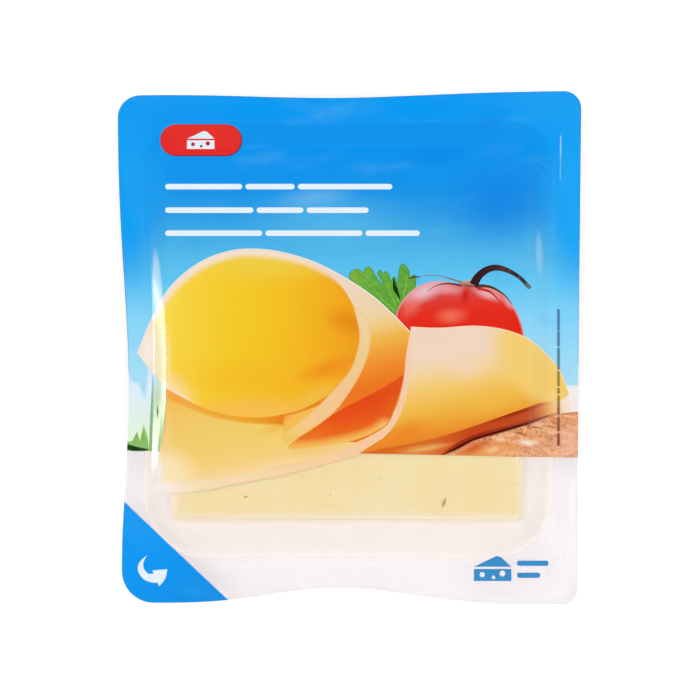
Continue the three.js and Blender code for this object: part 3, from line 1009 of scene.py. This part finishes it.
def makeLid():
    sealLine = makeLoop(pack["rim"], cornerSteps=12, sideSteps=60)
    films = {
        "flangeFilm": makeClearFilm("sealedLidFilm", clearFilm),
        "sealFilm": makeClearFilm("sealSeamFilm", seamFilm),
        "pocketFilm": makeClearFilm("freeLidFilm", freeFilm),
    }
    pocketLine = ringWithin(sealLine, sealLine.mean(0), lidLook["seamWidth"])
    shapes = [
        # The seam band along the rim takes the darker seam film, a painted line of shade
        {"ink": "sealFilm", "belowEdge": True, "points": sealLine},
        {"ink": "pocketFilm", "belowEdge": True, "points": pocketLine},
        *pictureShapes()]
    looks = {}
    for shape in shapes:
        if "blend" in shape:
            looks.setdefault(shape["ink"], shape)
    inks = {name: makeInk(name, look) for name, look in looks.items()}
    materials = [*films.values(), makeWhiteBack(), *inks.values()]
    slotOf = {name: i for i, name in enumerate([*films, "whiteBack", *inks])}
    print("inks mixed:", len(inks))

    edge = makeLoop(pack["outline"], cornerSteps=12, sideSteps=120)
    lines = [shape["points"] for shape in shapes] + [foldOutline(fold) for fold in sealFolds]
    points, faces = splitSheet(edge, lines, lidLook["gridStep"])
    middles = points[faces].mean(1)
    sky = next(shape for shape in shapes if shape["ink"] == "skyInk")
    aboveEdge = isInside(middles, sky["points"])
    shapeOf = np.full(len(faces), -1)
    for i, shape in enumerate(shapes):
        inside = isInside(middles, shape["points"])
        shapeOf[inside if "belowEdge" in shape else inside & aboveEdge] = i
    inset = np.zeros(faces.shape)
    for i, shape in enumerate(shapes):
        mine = shapeOf == i
        if "edge" in looks.get(shape["ink"], {}) and mine.any():
            line = smoothRun(shape["edgeLine"]) if "edgeLine" in shape else shape["points"]
            corners = points[faces[mine]].reshape(-1, 2)
            inset[mine] = distanceTo(corners, line, "edgeLine" not in shape).reshape(-1, 3)
    slots = np.array([slotOf["flangeFilm"] if i < 0 else slotOf[shapes[i]["ink"]] for i in shapeOf])
    backSlots = np.where(slots > slotOf["whiteBack"], slotOf["whiteBack"], slots)
    print("lid film split:", len(faces), "faces,", len(shapes), "shapes")

    under = lidUnderside(points) + foldRise(points)
    normals = filmNormals(points)
    count = len(points)
    top = np.column_stack([points, under + pack["lidThickness"]])
    bottom = np.column_stack([points, under])
    directed = np.vstack([faces[:, [0, 1]], faces[:, [1, 2]], faces[:, [2, 0]]])
    _, first, times = np.unique(np.sort(directed, axis=1), axis=0, return_index=True, return_counts=True)
    rimSides = directed[first[times == 1]]
    walls = [(a + count, b + count, b, a) for a, b in rimSides]
    facing = (points[rimSides[:, 1]] - points[rimSides[:, 0]])[:, ::-1] * (1, -1)
    facing = np.column_stack([facing / np.hypot(*facing.T)[:, None], np.zeros(len(facing))])

    allFaces = [*faces, *(faces[:, ::-1] + count), *walls]
    allSlots = np.concatenate([slots, backSlots, np.full(len(walls), slotOf["flangeFilm"])])
    cornerNormals = np.vstack([normals[faces].reshape(-1, 3), -normals[faces[:, ::-1]].reshape(-1, 3),
                               np.repeat(facing, 4, axis=0)])
    lid = buildPiece("lidFilm", np.vstack([top, bottom]), allFaces, materials, allSlots, cornerNormals)
    noValues = np.zeros(3 * len(faces) + 4 * len(walls))
    for name, values in (("inset", inset.ravel()), ("lift", liftAt(points)[faces].ravel())):
        addValues(lid, name, "CORNER", np.concatenate([values, noValues]))
    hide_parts("lid_film")
    return lid


# The tray

trayWall = {
    "profile": [  # across and down, from the rim to the floor
        (0, 0), (0.05, 0.015), (0.16, 0.08), (0.28, 0.26), (0.44, 0.52), (0.6, 0.78), (0.72, 0.91), (0.86, 0.98),
        (1, 1)],
    "steepness": 0.9,  # how much more height the film takes up where it stands steep
    "flangeRows": 7,
}


def makeTray():
    thickness = pack["trayThickness"]
    flangeBase = flangeTop - thickness
    lower, upper = [], []
    for outward in np.linspace(1, 0, trayWall["flangeRows"], endpoint=False):
        row = rimLoop + (edgeLoop - rimLoop) * outward
        height = flangeBase + waveAt(row, placeOnFilm(row)[0])
        lower.append(raiseLoop(row, height))
        upper.append(raiseLoop(row, height + thickness))
    for across, down in smoothRun(trayWall["profile"], step=0.05):
        row = rimLoop + (floorLoop - rimLoop) * across
        height = flangeBase * (1 - down)
        lift = thickness * (1 + trayWall["steepness"] * math.sin(math.pi * min(down, 1)))
        lower.append(raiseLoop(row, height))
        upper.append(raiseLoop(row, height + lift))
    rows, count = len(lower), len(edgeLoop)
    middles = [(*stackMiddle, thickness), (*stackMiddle, 0)]
    points = np.vstack([*upper, middles[:1], *lower, middles[1:]])
    start = rows * count + 1
    faces = skinFaces(rows, count, 0, False) + skinFaces(rows, count, start, True)
    faces += [(start + i, start + (i + 1) % count, (i + 1) % count, i) for i in range(count)]
    flangeFaces = trayWall["flangeRows"] * count
    slots = np.ones(len(faces), int)
    for first in (0, (len(faces) - count) // 2, len(faces) - count):
        slots[first:first + flangeFaces] = 0
    films = [makeClearFilm("trayFlangeFilm", trayFilm), makeClearFilm("trayWallFilm", trayWallFilm)]
    tray = buildPiece("formedTray", points, faces, films, slots)
    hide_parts("tray")
    print("tray formed:", len(faces), "faces")
    return tray


# The cheese

cheeseLook = {
    "body": "#FFDFA4",
    "pale": "#FFE5B6",
    "speck": "#EFD084",
    # painted shade for the eyes' hollows
    "eye": "#C69C58",
    "roughness": 0.42,
    "ior": 1.45,
    "gloss": 0.2,  # the film lies wet on the cheese, whose own surface hardly mirrors there
    "scatter": 3.0,  # how far light travels in the cheese
    "scattered": 0.6,  # the share of the light that does
    "cloudSize": 26,
    "speckSize": 1.8,
    "speckRange": (0.62, 0.72),  # values of the noise between which specks start and are full
    "speckStrength": 0.35,
    "tooth": 0.05,
    "bevel": 0.22,
    "waviness": 0.22,  # how uneven the cut edges are, and the numbers of waves in a turn that make them so
    "cutWaves": (5, 9, 17, 31),
    "topInset": 1.2,  # from the cut edge to the first ring within the face
    "gridStep": 4,
    "eyeRings": (1.25, 0.8, 0.4),  # rings of points in an eye, the first one where it starts
    "eyeShadeDepth": 0.35,  # the painted shade in an eye is full at this depth
    "eyes": [  # place on the pack, half width, half length, turn in degrees, depth
        (-41.5, -59.7, 1.0, 0.5, 4, 0.3),
        (37.8, -62.0, 0.7, 2.2, -20, 0.45),
        (-7.8, -58.9, 0.6, 0.4, 0, 0.2),
        (67.0, -54.6, 0.5, 0.4, 0, 0.2),
        (12.0, -52.0, 0.5, 0.35, 10, 0.15),
    ],
}


def makeCheese():
    # Gouda, cut by a wet blade: a dense, slightly translucent yellow with a fatty satin skin and few tiny eyes.
    material, tree, place = newMaterial("youngGouda")
    clouds = addNode(tree, "TexNoise", {"Scale": 1 / (cheeseLook["cloudSize"] * mm), "Detail": 3},
                     {"Vector": place})
    body = addNode(tree, "ValToRGB", None, {"Fac": clouds.outputs["Fac"]})
    setStops(body.color_ramp, {0.35: cheeseLook["body"], 0.65: cheeseLook["pale"]})
    specks = addNode(tree, "TexNoise", {"Scale": 1 / (cheeseLook["speckSize"] * mm), "Detail": 2},
                     {"Vector": place})
    low, high = cheeseLook["speckRange"]
    few = addNode(tree, "MapRange", {"From Min": low, "From Max": high, "To Max": cheeseLook["speckStrength"]},
                  {"Value": specks.outputs["Fac"]})
    colour = mixColour(tree, few.outputs["Result"], body.outputs["Color"], cheeseLook["speck"])
    # The eyes darken by depth: painted shade in their hollows
    eye = addNode(tree, "Attribute", {"attribute_name": "eye"}).outputs["Fac"]
    colour = mixColour(tree, eye, colour, cheeseLook["eye"])
    bump = addNode(tree, "Bump", {"Strength": 0.25, "Distance": cheeseLook["tooth"] * mm},
                   {"Height": specks.outputs["Fac"]})
    surface = addNode(tree, "BsdfPrincipled", {
        "Roughness": cheeseLook["roughness"], "IOR": cheeseLook["ior"], "Specular IOR Level": cheeseLook["gloss"],
        "Subsurface Weight": cheeseLook["scattered"],
        "Subsurface Radius": (1, 0.8, 0.4), "Subsurface Scale": cheeseLook["scatter"] * mm,
    }, {"Base Color": colour, "Normal": bump.outputs["Normal"]})
    return showSurface(material, tree, surface.outputs[0])


def eyeDepths(points, eyes):
    depth = np.zeros(len(points))
    for x, y, wide, long, turn, deep in eyes:
        away = turned(points - (x, y), -turn)
        depth += deep * smoothstep(cheeseLook["eyeRings"][0] - np.hypot(away[:, 0] / wide, away[:, 1] / long))
    return depth


def makeSlice(index, node, material):
    low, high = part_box(node)
    isTop = index == len(sliceNodes) - 1
    bottom, top = low.z / mm, high.z / mm
    centre = np.array([(low.x + high.x) / 2, (low.y + high.y) / 2]) / mm
    random = np.random.default_rng(index)
    corners = rectangleCorners((0, 0), pack["sliceWidth"], pack["sliceLength"], pack["sliceCornerRadius"])
    outline = makeLoop(corners, cornerSteps=6, sideSteps=36)
    along = np.arange(len(outline)) / len(outline) * 2 * math.pi
    waves = cheeseLook["cutWaves"]
    wobble = sum(np.sin(k * along + random.uniform(0, 6.28)) for k in waves) / len(waves)
    outline = outline * (1 - cheeseLook["waviness"] * (1 + wobble)[:, None] / pack["sliceWidth"])
    outline = turned(outline, pack["topSliceTurn"] if isTop else 0) + centre
    bevel = cheeseLook["bevel"]
    profile = [(cheeseLook["topInset"], 0), (bevel, 0), (bevel * 0.3, bevel * 0.3), (0, bevel)]  # inward, down
    rows = [raiseLoop(ringWithin(outline, centre, inset), top - drop) for inset, drop in profile]
    rows += [raiseLoop(ringWithin(outline, centre, inset), bottom + drop) for inset, drop in profile[::-1]]
    count = len(outline)
    faces = skinFaces(len(rows), count, 0, True)  # the rows go down and back in, with a fan underneath
    points = np.vstack([*rows, [(*centre, bottom)]])
    if isTop:
        eyes = cheeseLook["eyes"]
        rings = [turned(discOutline((0, 0), 1, 14) * (wide * share, long * share), turn) + (x, y)
                 for x, y, wide, long, turn, _ in eyes for share in cheeseLook["eyeRings"]]
        sheet, inside = splitSheet(rows[0][:, :2], rings, cheeseLook["gridStep"])
        depth = eyeDepths(sheet[count:], eyes)  # the sheet starts with the points that the first row has already
        inside = np.where(inside < count, inside, inside + len(points) - count)
        faces += [tuple(face) for face in inside]
        points = np.vstack([points, np.column_stack([sheet[count:], top - depth])])
    else:
        middle = len(points)
        points = np.vstack([points, [(*centre, top)]])
        faces += [(i, (i + 1) % count, middle) for i in range(count)]
    piece = buildPiece("cheeseSlice_" + node[-2:], points, faces, [material])
    if isTop:  # painted shade in the eyes, darker where they are deeper
        shade = np.clip(depth / cheeseLook["eyeShadeDepth"], 0, 1)
        addValues(piece, "eye", "POINT", np.concatenate([np.zeros(len(points) - len(depth)), shade]))
    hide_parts(node)
    return piece


# The studio

studio = {
    "floor": "#FFFFFF",
    "floorShade": "#FDFDFD",
    "floorGrain": 300,
    "floorSize": 6,  # metres
    "floorHeight": -0.0003,  # just clear of the tray
    "floorGlow": 0.18,  # a board lit a little from below, so that the pack casts no shadow to see
    "cameraHeight": 1.19,
    "lens": 150,
    "aim": (0.2, -0.9),
    "lampAim": (0, 0, 0.02),
    "walls": {0: "#F4F4F4", 0.22: "#C8C8C8", 0.45: "#3C3C3C", 1: "#262626"},  # pale, under a dark ceiling
    "wallLight": 0.8,
    "softboxes": [  # name, place, size and watts: large, even and off to the sides of the film's mirror line
        ("softboxNorth", (0.0, 0.62, 1.9), (0.8, 0.5), 6.55),
        ("softboxSouth", (0.0, -0.62, 1.9), (0.8, 0.5), 6.55),
        ("softboxEast", (0.62, 0.0, 1.9), (0.5, 0.8), 6.55),
        ("softboxWest", (-0.62, 0.0, 1.9), (0.5, 0.8), 6.55),
        ("softboxLeft", (-1.1, 0.1, 0.9), (0.9, 1.2), 2.8),
        ("softboxRight", (1.1, 0.0, 0.9), (0.9, 1.2), 2.5),
        ("softboxFront", (0.0, -1.1, 0.9), (1.2, 0.9), 2.8),
        ("softboxBack", (0.0, 1.1, 0.9), (1.2, 0.9), 2.1),
    ],
    "strips": [  # these draw the gloss lines along the slopes: name, place, size, watts and turn in degrees
        ("stripLeft", (-0.988, 0.03, 0.6), (0.22, 0.105), 0.5, 12),
        ("stripLeftHigh", (-0.99, 0.058, 0.602), (0.22, 0.049), 0.27, 12),
        ("stripLeftLow", (-0.988, -0.07, 0.6), (0.22, 0.1), 0.04, 20),
        ("stripRight", (1.054, 0.16, 0.544), (0.09, 0.08), 0.34, 0),
        ("veilRight", (0.62, -0.07, 0.75), (0.3, 0.48), 0.26, 0),
    ],
}


def addLamp(name, at, size, watts, turn=0, glossy=False):
    lamp = bpy.data.lights.new(name, "AREA")
    lamp.shape = "RECTANGLE"
    lamp.size, lamp.size_y = size
    lamp.energy = watts
    piece = addObject(name, lamp)
    piece.location = at
    piece.rotation_mode = "QUATERNION"
    aimed = (Vector(studio["lampAim"]) - Vector(at)).to_track_quat("-Z", "Y")
    piece.rotation_quaternion = aimed @ Quaternion((0, 0, 1), math.radians(turn))
    piece.visible_glossy = glossy
    return piece


def makeStudio():
    half = studio["floorSize"] / 2
    corners = [(-half, -half), (half, -half), (half, half), (-half, half)]
    mesh = bpy.data.meshes.new("studioFloor")
    mesh.from_pydata([(x, y, studio["floorHeight"]) for x, y in corners], [], [(0, 1, 2, 3)])
    material, tree, place = newMaterial("paintedBoard")
    grain = addNode(tree, "TexNoise", {"Scale": studio["floorGrain"], "Detail": 2}, {"Vector": place})
    ramp = addNode(tree, "ValToRGB", None, {"Fac": grain.outputs["Fac"]})
    setStops(ramp.color_ramp, {0.4: studio["floorShade"], 0.6: studio["floor"]})
    surface = addNode(tree, "BsdfPrincipled", {
        "Roughness": 0.9, "IOR": 1.3,
        "Emission Color": toLinear(studio["floor"]), "Emission Strength": studio["floorGlow"],
    }, {"Base Color": ramp.outputs[0]})
    mesh.materials.append(showSurface(material, tree, surface.outputs[0]))
    floor = addObject("studioFloor", mesh)

    world = bpy.data.worlds.new("paleStudio")
    bpy.context.scene.world = world
    world.use_nodes = True
    sky = world.node_tree
    sky.nodes.clear()
    heading = addNode(sky, "TexCoord").outputs["Generated"]
    height = addNode(sky, "SeparateXYZ", None, {"Vector": heading}).outputs["Z"]
    walls = addNode(sky, "ValToRGB", None, {"Fac": height})
    setStops(walls.color_ramp, studio["walls"])
    light = addNode(sky, "Background", {"Strength": studio["wallLight"]}, {"Color": walls.outputs["Color"]})
    addNode(sky, "OutputWorld", None, {"Surface": light.outputs[0]})

    for lamp in studio["softboxes"]:
        addLamp(*lamp)
    for lamp in studio["strips"]:
        addLamp(*lamp, glossy=True)

    camera = bpy.data.cameras.new("camera")
    camera.lens = studio["lens"]
    camera.clip_start, camera.clip_end = 0.05, 20
    rig = addObject("camera", camera)
    rig.location = (studio["aim"][0] * mm, studio["aim"][1] * mm, studio["cameraHeight"])
    bpy.context.scene.camera = rig
    bpy.context.scene.view_settings.view_transform = "Standard"
    print("studio lit")


makeTray()
gouda = makeCheese()
for index, node in enumerate(sliceNodes):
    makeSlice(index, node, gouda)
print("cheese sliced:", len(sliceNodes))
makeLid()
makeStudio()
